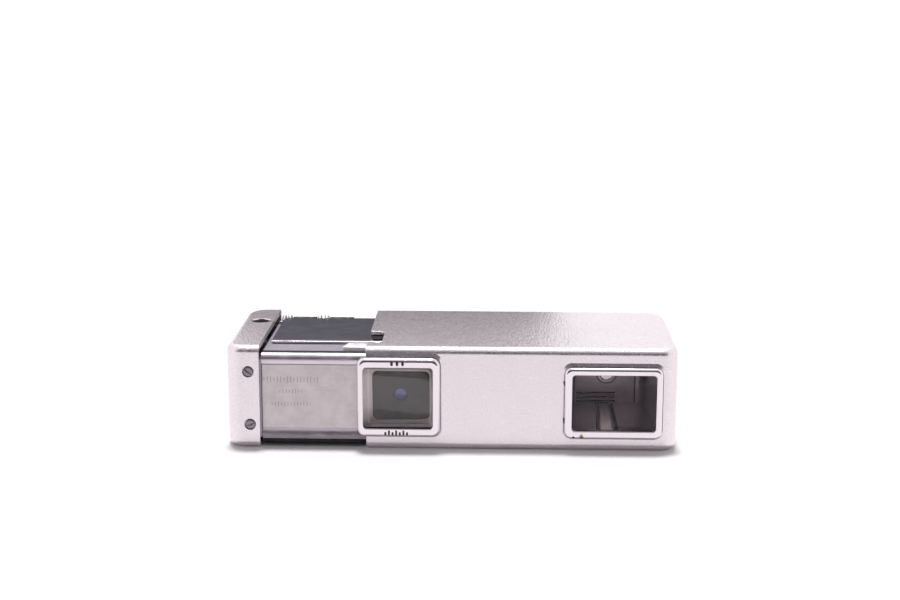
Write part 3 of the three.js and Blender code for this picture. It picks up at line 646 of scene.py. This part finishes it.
def make_finder():
    edge = span("finder_frame")
    opening = (edge.x0 + 1.8, edge.x1 - 1.5, edge.z0 + 2, edge.z1 - 1.75)
    ring = make_window_frame("finder_ring", "finder_frame", opening, 1.7, 0.8, 0.8)
    settle(ring, "outer_cover", ["finder_frame"], CHROME)
    lens = span("finder_front_lens")
    make_concave_pane("finder_lens", opening, lens.y0, lens.y1)
    eye = span("eyepiece_ring")
    rim = turned("eyepiece_rim", "y", [
        (2.5, eye.y0), (3.2, eye.y0), (3.2, eye.y1 - 0.15), (3.05, eye.y1), (2.8, eye.y1),
        (2.55, eye.y1 - 0.2), (2.5, eye.y1 - 0.3)], eye.x, eye.z)
    settle(smooth(rim), "outer_cover", ["eyepiece_ring"], CHROME)
    small = span("eyepiece_lens")
    dome = [(2.45 * math.sin(t), small.y1 - 0.3 * (1 - math.cos(t * 1.4))) for t in reversed(quarter(10))]
    bead = turned("eyepiece_glass", "y", [(0, small.y0), (2.45, small.y0)] + dome[:-1] + [(0, small.y1)],
                  small.x, small.z)
    settle(smooth(bead), "outer_cover", ["eyepiece_lens"], SMOKED)


def make_concave_pane(name, outline, near, far, across=28, up=20):
    """A rectangular negative lens, hollowed in front and behind by spheres."""
    x0, x1, z0, z1 = outline
    thin = 0.35
    corner_reach = math.hypot(x1 - x0, z1 - z0) / 2
    rear_radius = corner_reach ** 2 / (2 * (far - near - thin)) + (far - near - thin) / 2
    front_radius = 73.0

    def sag(x, z, radius):
        reach = math.hypot(x - (x0 + x1) / 2, z - (z0 + z1) / 2)
        return radius - math.sqrt(radius ** 2 - reach ** 2)

    grid = [(x0 + (x1 - x0) * i / across, z0 + (z1 - z0) * j / up)
            for j in range(up + 1) for i in range(across + 1)]
    points = [(x, near - sag(x, z, front_radius), z) for x, z in grid]
    points += [(x, near + thin + sag(x, z, rear_radius), z) for x, z in grid]
    faces = []
    row, half = across + 1, len(grid)
    for j in range(up):
        for i in range(across):
            corner = j * row + i
            square = (corner, corner + 1, corner + row + 1, corner + row)
            faces += [square, tuple(half + k for k in reversed(square))]
    border = list(range(across)) + [j * row + across for j in range(up)]
    border += [up * row + i for i in range(across, 0, -1)] + [j * row for j in range(up, 0, -1)]
    for first, second in zip(border, border[1:] + border[:1]):
        faces.append((first, second, half + second, half + first))
    pane = mesh_object(name, points, faces)
    settle(smooth(pane), "outer_cover", ["finder_front_lens"], FINDER_GLASS)


# ---------------------------------------------------------------- end cap
def make_cap():
    over = 6             # length past the open end, trimmed away below
    shell = block("cap_shell", rect_outline(cap.x0, cap.x1 + over, cap.y0, cap.y1,
                                            [END_ROUND, 0, 0, REAR_ROUND], 20),
                  "z", cap.z0, cap.z1, soft=EDGE_ROUND, steps=8)
    shell.data.materials.append(FROSTED)
    hollow = block("hollow", rect_outline(cap.x0 + CAP_WALL, cap.x1 + over + 1,
                                          cap.y0 + CAP_WALL, cap.y1 - CAP_WALL,
                                          [END_ROUND - CAP_WALL, 0, 0, REAR_ROUND - CAP_WALL], 12),
                   "z", cap.z0 + CAP_WALL, cap.z1 - CAP_WALL, soft=0.3, steps=3)
    hollow.data.materials.append(INTERIOR)
    trim = block("trim", rect_outline(cap.x1, cap.x1 + over + 1, cap.y0 - 1, cap.y1 + 1, 0, 1),
                 "z", cap.z0 - 1, cap.z1 + 1)
    bush = span("release_bush")
    bore = rod("bore", "z", 2.68, cap.z1 - 3, cap.z1 + 1, bush.x, bush.y)
    holes = []
    for node in SCREWS:
        head = span(node)
        front = head.y < cap.y
        mouth, floor, through = (cap.y0 - 1, cap.y0 + 0.75, cap.y0 + 3) if front else (
            cap.y1 + 1, cap.y1 - 0.75, cap.y1 - 3)
        holes.append(turned("hole", "y", [(0, mouth), (1.38, mouth), (1.38, floor), (0.62, floor),
                                          (0.62, through), (0, through)], head.x, head.z, 48))
        # Counterbore walls take the blackened finish as painted shade round each screw head.
        holes[-1].data.materials.append(INTERIOR)
    cut(shell, [trim, hollow, bore, *holes])
    soften(shell, 0.12, 3)
    settle(shell, "inner_body", ["end_cap"], FROSTED)


def make_screws():
    for node, slot_angle in SCREWS.items():
        head = span(node)
        front = head.y < cap.y
        face, inward = (head.y0, 1) if front else (head.y1, -1)
        screw = turned(f"{node}_head", "y", [
            (0, face), (0.9, face), (1.12, face + inward * 0.05), (1.2, face + inward * 0.16),
            (1.2, face + inward * 0.66), (0.5, face + inward * 0.66), (0.5, face + inward * 3.8),
            (0, face + inward * 3.8)], head.x, head.z, 48)
        slot = block("slot", rect_outline(-1.4, 1.4, -0.17, 0.17, 0, 1), "y", -0.34, 0.34)
        slot.data.transform(Matrix.Translation(Vector((head.x, face, head.z)) * MM)
                            @ Matrix.Rotation(math.radians(slot_angle), 4, "Y"))
        cut(screw, [slot])
        soften(screw, 0.03, 2, 50)
        settle(screw, "inner_body", [node], SCREW)


def make_release():
    bush = span("release_bush")
    top = bush.z1
    ring = turned("release_ring", "z", [
        (1.1, bush.z0), (2.65, bush.z0), (2.65, top - 0.2), (2.62, top - 0.06), (2.5, top),
        (2.36, top - 0.05), (2.3, top - 0.18), (2.16, top - 0.5), (2.05, top - 0.9), (1.95, bush.z0 + 0.5),
        (1.1, bush.z0 + 0.5)], bush.x, bush.y, 96)
    ring.data.materials.append(CHROME)
    # The ring's inner wall takes the dark brown as painted shade down the button's recess.
    ring.data.materials.append(BROWN)
    for face in ring.data.polygons:
        reach = math.hypot(face.center.x / MM - bush.x, face.center.y / MM - bush.y)
        face.material_index = 1 if reach < 2.25 else 0
    settle(smooth(ring), "inner_body", ["release_bush"], CHROME)
    knob = span("release_button")
    rim = knob.z1
    dish = [(1.7 * math.sin(t), rim - 0.08 - 0.35 * math.cos(t)) for t in reversed(quarter(8)[1:])]
    button = turned("release_knob", "z", [
        (0, knob.z0), (0.9, knob.z0), (0.9, rim - 0.6), (1.86, rim - 0.6), (1.86, rim - 0.12),
        (1.8, rim - 0.02)] + dish + [(0, rim - 0.43)], knob.x, knob.y, 96)
    settle(smooth(button), "release_button", ["release_button"], BROWN)


# ---------------------------------------------------------------- inner body
def make_front_plate():
    """One drawn plate: a rounded polished rail along its top and bottom, a lower satin panel between."""
    face, back = plate.y0, plate.y1
    recess, steps = 0.8, 18
    panel = face + recess
    top = plate.z1 - 0.5
    top_crest, ridge = top - 1.75, plate.z0 + 0.95

    def arch(crest, tall, deep, first, last):
        """Part of an ellipse whose foremost point is at the crest; first and last are its end angles."""
        turns = [math.radians(first + (last - first) * i / steps) for i in range(steps + 1)]
        return [(face + deep * (1 - math.cos(t)), crest + tall * math.sin(t)) for t in turns]

    lower = [(face + 0.3, plate.z0), (face + 0.02, ridge - 0.1)]
    lower += [(y - 0.1, z) for y, z in arch(ridge - 0.95, 2.75, 1.5, 19.5, 90) if y - 0.1 < panel]
    upper = arch(top_crest, 1.75, 1.3, 0, 90)
    outline = [(back, plate.z0)] + lower + [(panel, lower[-1][1] + 0.12)]
    outline += [(panel, top_crest - 1.14), (panel + 0.25, top_crest - 1.08), (panel + 0.25, top_crest - 0.92),
                (face + 0.2, top_crest - 0.86), (face + 0.03, top_crest - 0.7)]
    outline += upper + [(back, top)]
    body = loft("front_panel", [lift("x", outline, plate.x0), lift("x", outline, plate.x1)])
    bezel = span("lens_bezel")
    window_outline = rect_outline(bezel.x0 - 0.1, bezel.x1 + 0.1, bezel.z0 - 0.1, bezel.z1 + 0.1, 0.9, 8)
    window = block("window", window_outline, "y", face - 1, back + 1)
    cut(body, [window])
    smooth(body, 30)
    body.data.materials.append(SATIN)
    body.data.materials.append(RAIL)
    for polygon in body.data.polygons:
        z = polygon.center.z / MM
        if z > top_crest - 1.1 or z < lower[-1][1] + 0.01:
            polygon.material_index = 1
    settle(body, "inner_body", ["front_plate"], SATIN)
    make_engraving(panel)
    make_shadow_strips()


def make_shadow_strips():
    """Black strips of painted shade: in the groove behind the plate's top edge and along the body's lower
    front edge.
    """
    strips = {
        "groove_shade_strip": (plate.y1 + 0.05, plate.y1 + 1.6, 22.7, 22.95),
        "sill_shade_strip": (plate.y0 + 0.25, plate.y1 + 0.9, 1.15, plate.z0 + 0.02),
    }
    for name, (front, back, low, high) in strips.items():
        strip = block(name, rect_outline(plate.x0, plate.x1, front, back, 0.1, 2), "z", low, high)
        settle(strip, "inner_body", [], PAINTED_SHADE)


def make_engraving(panel):
    """Three rows of fine engraved graduations."""
    middle = -38.4
    rows = [(16.4, 1.5, 17, 0.8), (13.5, 1.1, 8, 0.76), (10.4, 1.1, 13, 0.76)]
    marks = []
    for level, tall, count, pitch in rows:
        for k in range(count):
            x = middle + (k - (count - 1) / 2) * pitch
            size = tall if k % 3 else tall * 0.6
            marks.append((x - 0.07, x + 0.07, level - size / 2, level + size / 2))
    engraving = strokes("front_engraving", "y", panel + 0.01, 0.016, marks)
    settle(engraving, "inner_body", [], ENGRAVED)


def make_bezel():
    """Sloping grey surround that ends in a thin lip round the dark lens plate."""
    mouth = (-21.0, -4.55, 5.0, 20.25)
    throat = (-18.65, -5.7, 7.05, 18.1)
    profile = ((0, -17.9), (0, -18.42), (0.05, -18.48), (0.1, -18.45), (0.8, -17.85), (0.84, -17.83),
               (0.97, -17.83), (1, -17.78), (1, -17.16))
    loops = []
    for t, level in profile:
        sides = [m + (n - m) * t for m, n in zip(mouth, throat)]
        loops.append(lift("y", rounded_rect(*sides, 0.9 + 0.3 * t, 10), level))
    surround = loft("lens_surround", loops, ring=True)
    settle(smooth(surround, 30), "inner_body", ["lens_bezel"], BEZEL)
    x0, x1, z0, z1 = throat
    lip_section = ((0.16, -17.8), (0.13, -17.88), (0.02, -17.88), (0, -17.84), (0, -17.7), (0.16, -17.7))
    lip_loops = []
    for grow, level in lip_section:
        outline = rounded_rect(x0 - grow, x1 + grow, z0 - grow, z1 + grow, 1.2 + grow, 10)
        lip_loops.append(lift("y", outline, level))
    lip = loft("lens_lip", lip_loops, ring=True)
    settle(smooth(lip, 50), "inner_body", [], BEZEL)
    plate_box = span("lens_plate")
    panel = block("lens_panel", rect_outline(plate_box.x0, plate_box.x1, plate_box.z0, plate_box.z1, 0.6, 6),
                  "y", plate_box.y0, plate_box.y1)
    bore = turned("bore", "y", [(0, plate_box.y0 - 1), (1.75, plate_box.y0 - 1), (1.75, plate_box.y0 + 0.02),
                                (1.3, plate_box.y0 + 0.32), (1.25, plate_box.y1 + 1), (0, plate_box.y1 + 1)],
                  lens_axis.x, lens_axis.z)
    cut(panel, [bore])
    settle(smooth(panel, 30), "inner_body", ["lens_plate"], LENS_PLATE)


def make_lens():
    x, z = lens_axis.x, lens_axis.z
    bulges = {"front_lens": (0.55, 0.35), "middle_lens": (-0.45, -0.4), "rear_lens": (0.4, 0.5)}
    reach, rows = 2.6, 12
    for node, (front_bulge, rear_bulge) in bulges.items():
        edge = span(node)
        near = edge.y0 + max(front_bulge, 0)
        far = edge.y1 - max(rear_bulge, 0)
        front = [(reach * i / rows, near - front_bulge * (1 - (i / rows) ** 2)) for i in range(rows + 1)]
        rear = [(reach * i / rows, far + rear_bulge * (1 - (i / rows) ** 2)) for i in range(rows, -1, -1)]
        element = turned(f"{node}_glass", "y", front + rear, x, z)
        settle(smooth(element, 50), "inner_body", [node], COATED)
    tube = span("lens_barrel")
    steps = [(2.7, tube.y0), (4.0, tube.y0), (4.0, tube.y1), (2.7, tube.y1)]
    for i in range(8):
        level = tube.y1 - 0.6 - i * 0.5
        steps += [(2.7, level), (2.6, level - 0.25)]
    barrel = turned("lens_tube", "y", steps, x, z, 96)
    settle(smooth(barrel, 20), "inner_body", ["lens_barrel"], BLACK)


def make_top():
    """Bead along the top plate's front edge, cocking slide and a black strip under the cover's lip, painted
    shade where the cover shades the top plate.
    """
    strip = span("top_trim_strip")
    half = (strip.z1 - strip.z0) / 2
    turns = [HALF_TURN * (i / 12 - 0.5) for i in range(13)]
    section = [(strip.y1, strip.z0)] + [(strip.y0 + half - half * math.cos(t), strip.z + half * math.sin(t))
                                        for t in turns] + [(strip.y1, strip.z1)]
    bead = loft("trim_bead", [lift("x", section, strip.x0), lift("x", section, strip.x1)])
    settle(smooth(bead, 30), "inner_body", ["top_trim_strip"], CHROME)
    slide = span("cocking_slide")

    slant, corner = 0.95, 0.15

    def outline(inset):
        x0, x1, y0, y1 = slide.x0 + inset, slide.x1 - inset, slide.y0 + inset, slide.y1 - inset
        return rounded_polygon([(x0, y0, corner), (x1, y0, corner), (x1, y1, corner),
                                (x0 + slant, y1, corner)])

    tab = block("cocking_tab", outline, "z", slide.z0 + 0.12, slide.z0 + 0.72, soft=0.12, steps=4)
    settle(smooth(tab, 50), "outer_cover", ["cocking_slide"], TAB)
    foot = block("cocking_foot", lambda inset: outline(inset - 0.1), "z", slide.z0, slide.z0 + 0.2)
    settle(foot, "outer_cover", [], TAB)
    # A black strip painted as shade on the top plate, where the cover's lip shades it.
    plate_box = span("top_plate")
    shade_outline = rect_outline(cover.x0 + 0.5, cover.x0 + 7, strip.y1 - 0.1, plate_box.y1 - 1,
                        [1.2, 0.2, 0.2, 0.3], 5)
    top_shade = block("top_shade_strip", shade_outline, "z", plate_box.z1 - 0.05, plate_box.z1 + 0.3, soft=0.1, steps=3)
    settle(smooth(top_shade), "inner_body", [], PAINTED_SHADE)


# Which of seven straight strokes write each digit, and each stroke's two ends in a unit box.
SEGMENTS = {"0": "abcdef", "1": "bc", "2": "abged", "3": "abgcd", "4": "fgbc", "5": "afgcd", "6": "afgedc",
            "8": "abcdefg"}
SEGMENT_PLACES = {"a": (0, 1, 1, 1), "b": (1, 1, 1, 0.5), "c": (1, 0.5, 1, 0), "d": (0, 0, 1, 0),
                  "e": (0, 0.5, 0, 0), "f": (0, 1, 0, 0.5), "g": (0, 0.5, 1, 0.5)}


def numeral_strokes(text, wide, tall, pitch):
    """Flat (u0, u1, v0, v1) bars that write a number, centred on nought."""
    line = 0.045
    places = [i * pitch for i in range(len(text.replace(".", "")))]
    start = -(places[-1] + wide) / 2
    bars, column = [], 0
    for sign in text:
        if sign == ".":
            dot = start + column * pitch - (pitch - wide) / 2
            bars.append((dot - line, dot + line, -tall / 2 - line, -tall / 2 + line))
            continue
        left = start + column * pitch
        for key in SEGMENTS[sign]:
            u0, v0, u1, v1 = SEGMENT_PLACES[key]
            bars.append((left + u0 * wide - line, left + u1 * wide + line,
                         (min(v0, v1) - 0.5) * tall - line, (max(v0, v1) - 0.5) * tall + line))
        column += 1
    return bars


# A dial's wheels, drum and raised numbers.
WHEEL_RADIUS = 1.72
KNURLS = 24
DRUM_RADIUS = 1.12
SPINDLE_RADIUS = 0.5
NUMBER_STEP = 60         # degrees between numbers


def make_dial(node, wheels, drum, numerals):
    """A spindle with two knurled wheels and a numbered drum."""
    edge = span(node)
    low, high = drum
    rim = DRUM_RADIUS - 0.06
    spindle = turned(f"{node}_spindle", "x", [
        (0, edge.x0), (SPINDLE_RADIUS, edge.x0), (SPINDLE_RADIUS, low), (rim, low), (DRUM_RADIUS, low + 0.06),
        (DRUM_RADIUS, high - 0.06), (rim, high), (SPINDLE_RADIUS, high), (SPINDLE_RADIUS, edge.x1),
        (0, edge.x1)], edge.y, edge.z, 48)
    settle(smooth(spindle, 40), node, [node], BLACK)
    for i, (x0, x1) in enumerate(wheels):
        settle(make_knurled_wheel(f"{node}_wheel_{i + 1}", edge, x0, x1), node, [], WHEEL)
    numbers = make_drum_numbers(f"{node}_numerals", edge, (low + high) / 2, numerals)
    settle(numbers, node, [], NUMERAL)


def make_knurled_wheel(name, edge, x0, x1):
    """A wheel with rounded rims and a fine tooth at every knurl."""
    steps = KNURLS * 4
    loops = []
    for x, inset in ((x0, 0.28), (x0 + 0.05, 0.14), (x0 + 0.18, 0),
                     (x1 - 0.18, 0), (x1 - 0.05, 0.14), (x1, 0.28)):
        ring = []
        for k in range(steps):
            turn = FULL_TURN * k / steps
            groove = 0.11 if k % 4 == 0 else 0.03 if k % 2 else 0
            reach = WHEEL_RADIUS - inset - groove
            ring.append((edge.y + reach * math.cos(turn), edge.z + reach * math.sin(turn)))
        loops.append(lift("x", ring, x))
    return smooth(loft(name, loops), 50)


def make_drum_numbers(name, edge, middle, numerals):
    """Numbers standing just proud of the drum, bent round it."""
    points, faces = [], []
    for k, text in enumerate(numerals):
        label = -math.radians(NUMBER_STEP * k)
        for u0, u1, v0, v1 in numeral_strokes(text, 0.42, 0.62, 0.62):
            start = len(points)
            for radius in (1.08, 1.135):
                for u, v in ((u0, v0), (u1, v0), (u1, v1), (u0, v1)):
                    turn = label + v / radius
                    points.append((middle - u, edge.y + radius * math.cos(turn),
                                   edge.z + radius * math.sin(turn)))
            faces += [[start + n for n in face] for face in
                      ((0, 1, 2, 3), (4, 5, 6, 7), (0, 1, 5, 4), (1, 2, 6, 5), (2, 3, 7, 6), (3, 0, 4, 7))]
    return mesh_object(name, points, faces)


def make_dials():
    """Wheels, drum and numbers of each dial, measured from the dial's left end."""
    dials = {
        "aperture_dial": ((0, 0.95), (1.35, 2.45), (2.95, 6.65), ("2.8", "4", "5.6", "8", "11", "16")),
        "speed_dial": ((0, 0.95), (1.7, 2.85), (3.4, 7.1), ("30", "60", "125", "250", "500")),
    }
    for node, (first, second, drum, numerals) in dials.items():
        left = span(node).x0
        first, second, drum = [[left + place for place in pair] for pair in (first, second, drum)]
        make_dial(node, (first, second), drum, numerals)


def make_chips():
    """Spots where the finder frame's plating has chipped through."""
    edge = span("finder_frame")
    spots = [(edge.x0 + 0.02, 16.7, 0.3, 0.75, INK_AND_SHADE), (edge.x0 - 0.02, 7.6, 0.28, 0.8, INK_AND_SHADE),
             (edge.x0 + 2.2, edge.z0 + 0.55, 0.3, 0.2, INK_AND_SHADE),
             (edge.x0 + 4.1, edge.z0 + 0.75, 0.5, 0.45, TARNISH),
             (edge.x0 + 4.15, edge.z0 + 0.55, 0.34, 0.2, INK_AND_SHADE)]
    for i, (x, z, wide, tall, material) in enumerate(spots):
        outline = [(x + wide * math.cos(t) * (1 + 0.25 * math.sin(3 * t + i)),
                    z + tall * math.sin(t) * (1 + 0.2 * math.cos(2 * t + i)))
                   for t in [FULL_TURN * k / 14 for k in range(14)]]
        level = edge.y0 + (0.7 if x < edge.x0 + 1 else 0.13 - 0.02 * i)
        chip = loft(f"plating_chip_{i + 1}", [lift("y", outline, y) for y in (level - 0.12, level + 0.3)])
        settle(chip, "outer_cover", [], material)


make_cover()
make_filter()
make_finder()
make_cap()
make_screws()
make_release()
make_front_plate()
make_bezel()
make_lens()
make_top()
make_dials()
make_chips()


# ---------------------------------------------------------------- CAD nodes that keep their shape
KEPT = [
    (CASTING, "chassis lens_block"),
    (SLATE, "top_plate"),
    (CHROME, "stop_pin"),
    (SATIN, "back_plate dial_bridge"),
    (STEEL, "back_screw_1 back_screw_2 door_latch aperture_pivot shutter_blade shutter_pivot "
            "pressure_plate pressure_spring advance_rack release_spring release_lever_pin"),
    (BLACK, "film_door bottom_plate aperture_disc film_gate frame_counter"),
    (BRASS, "lens_retaining_ring advance_pinion release_lever"),
    (FILM, "film_strip supply_roll"),
    (PLASTIC, "film_cassette take_up_spool"),
]



def dress_kept_nodes():
    """Gives each kept node its finish and a slightly broken edge."""
    for material, nodes in KEPT:
        for node in nodes.split():
            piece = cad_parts[node]
            piece.data.materials.clear()
            piece.data.materials.append(material)
            edge = piece.modifiers.new("edge", "BEVEL")
            edge.width = 0.05 * MM
            edge.segments = 2
            edge.limit_method = "ANGLE"
            edge.angle_limit = math.radians(40)
            smooth(piece, 40)


dress_kept_nodes()


# ---------------------------------------------------------------- stage, light, camera
def glowing_face(name, color, strength):
    face = Shader(name, (0, 0, 0), roughness=1.0, Emission_Color=(*color, 1), Emission_Strength=strength)
    return face.material


def glow_card(name, corners, color, strength):
    """A card that only reflections see."""
    card = mesh_object(name, corners, [tuple(range(len(corners)))])
    card.data.materials.append(glowing_face(f"{name}_face", color, strength))
    for kind in ("camera", "diffuse", "shadow"):
        setattr(card, f"visible_{kind}", False)


def make_stage():
    """A pale floor, a white sky and dim cards that shade the reflections."""
    floor = block("floor", lambda inset: rounded_rect(-4500, 4500, -3000, 5500, 10, 4), "z", -2, 0)
    s = Shader("pale_floor", (0.9, 0.885, 0.9), roughness=0.7)
    s.bump(s.noise(1.5, detail=4), 0.01, 0.1)
    floor.data.materials.append(s.material)
    sky_radius = 8000
    dome = turned("sky", "z", [(sky_radius * math.sin(t), sky_radius * math.cos(t)) for t in
                               [HALF_TURN * i / 24 for i in range(25)]], 0, 0, 48)
    dome.data.materials.append(glowing_face("sky_face", SKY_COLOR, SKY))
    dome.visible_diffuse = False
    dome.visible_shadow = False
    rear_outline = [(-70, 0.2), (27, 0.2), (27, 42), (21, 56), (8, 61), (-50, 61), (-64, 54), (-71, 40)]
    glow_card("rear_flag", lift("y", rear_outline, 62), (1, 0.96, 1), 0.205)
    glow_card("front_flag", [(-900, -900, -1), (900, -900, -1), (900, -900, 800), (-900, -900, 800)],
              (1, 0.85, 1), 0.05)
    glow_card("front_haze", [(-900, -900, 801), (900, -900, 801), (900, -400, 1500), (-900, -400, 1500)],
              (0.97, 0.92, 1), 0.68)


def make_light():
    world = bpy.data.worlds.new("studio")
    bpy.context.scene.world = world
    world.use_nodes = True
    background = world.node_tree.nodes["Background"]
    background.inputs["Color"].default_value = (*SKY_COLOR, 1)
    background.inputs["Strength"].default_value = FILL
    lamp = bpy.data.lights.new("overhead_light", "SUN")
    lamp.energy = LAMP_POWER
    lamp.angle = math.radians(LAMP_WIDTH)
    holder = bpy.data.objects.new("overhead_light", lamp)
    bpy.context.scene.collection.objects.link(holder)
    holder.rotation_mode = "QUATERNION"
    shine = Vector((0.02, -math.tan(math.radians(LAMP_BACK_TILT)), -1))
    holder.rotation_quaternion = shine.to_track_quat("-Z", "Y")


def make_camera():
    lens = bpy.data.cameras.new("camera")
    lens.sensor_width = 36
    lens.lens = 64.7
    lens.clip_start, lens.clip_end = 0.01, 20
    holder = bpy.data.objects.new("camera", lens)
    bpy.context.scene.collection.objects.link(holder)
    turn_left, tip_down, lean = (math.radians(v) for v in (1.653, 11.980, -0.108))
    holder.rotation_mode = "QUATERNION"
    level = Matrix.Rotation(turn_left, 3, "Z") @ Matrix.Rotation(math.pi / 2 - tip_down, 3, "X")
    holder.rotation_quaternion = (level @ Matrix.Rotation(-lean, 3, "Z")).to_quaternion()
    holder.location = Vector((10.36, -390.61, 115.17)) * MM
    bpy.context.scene.camera = holder


make_stage()
make_light()
make_camera()
bpy.context.scene.view_settings.view_transform = "Standard"
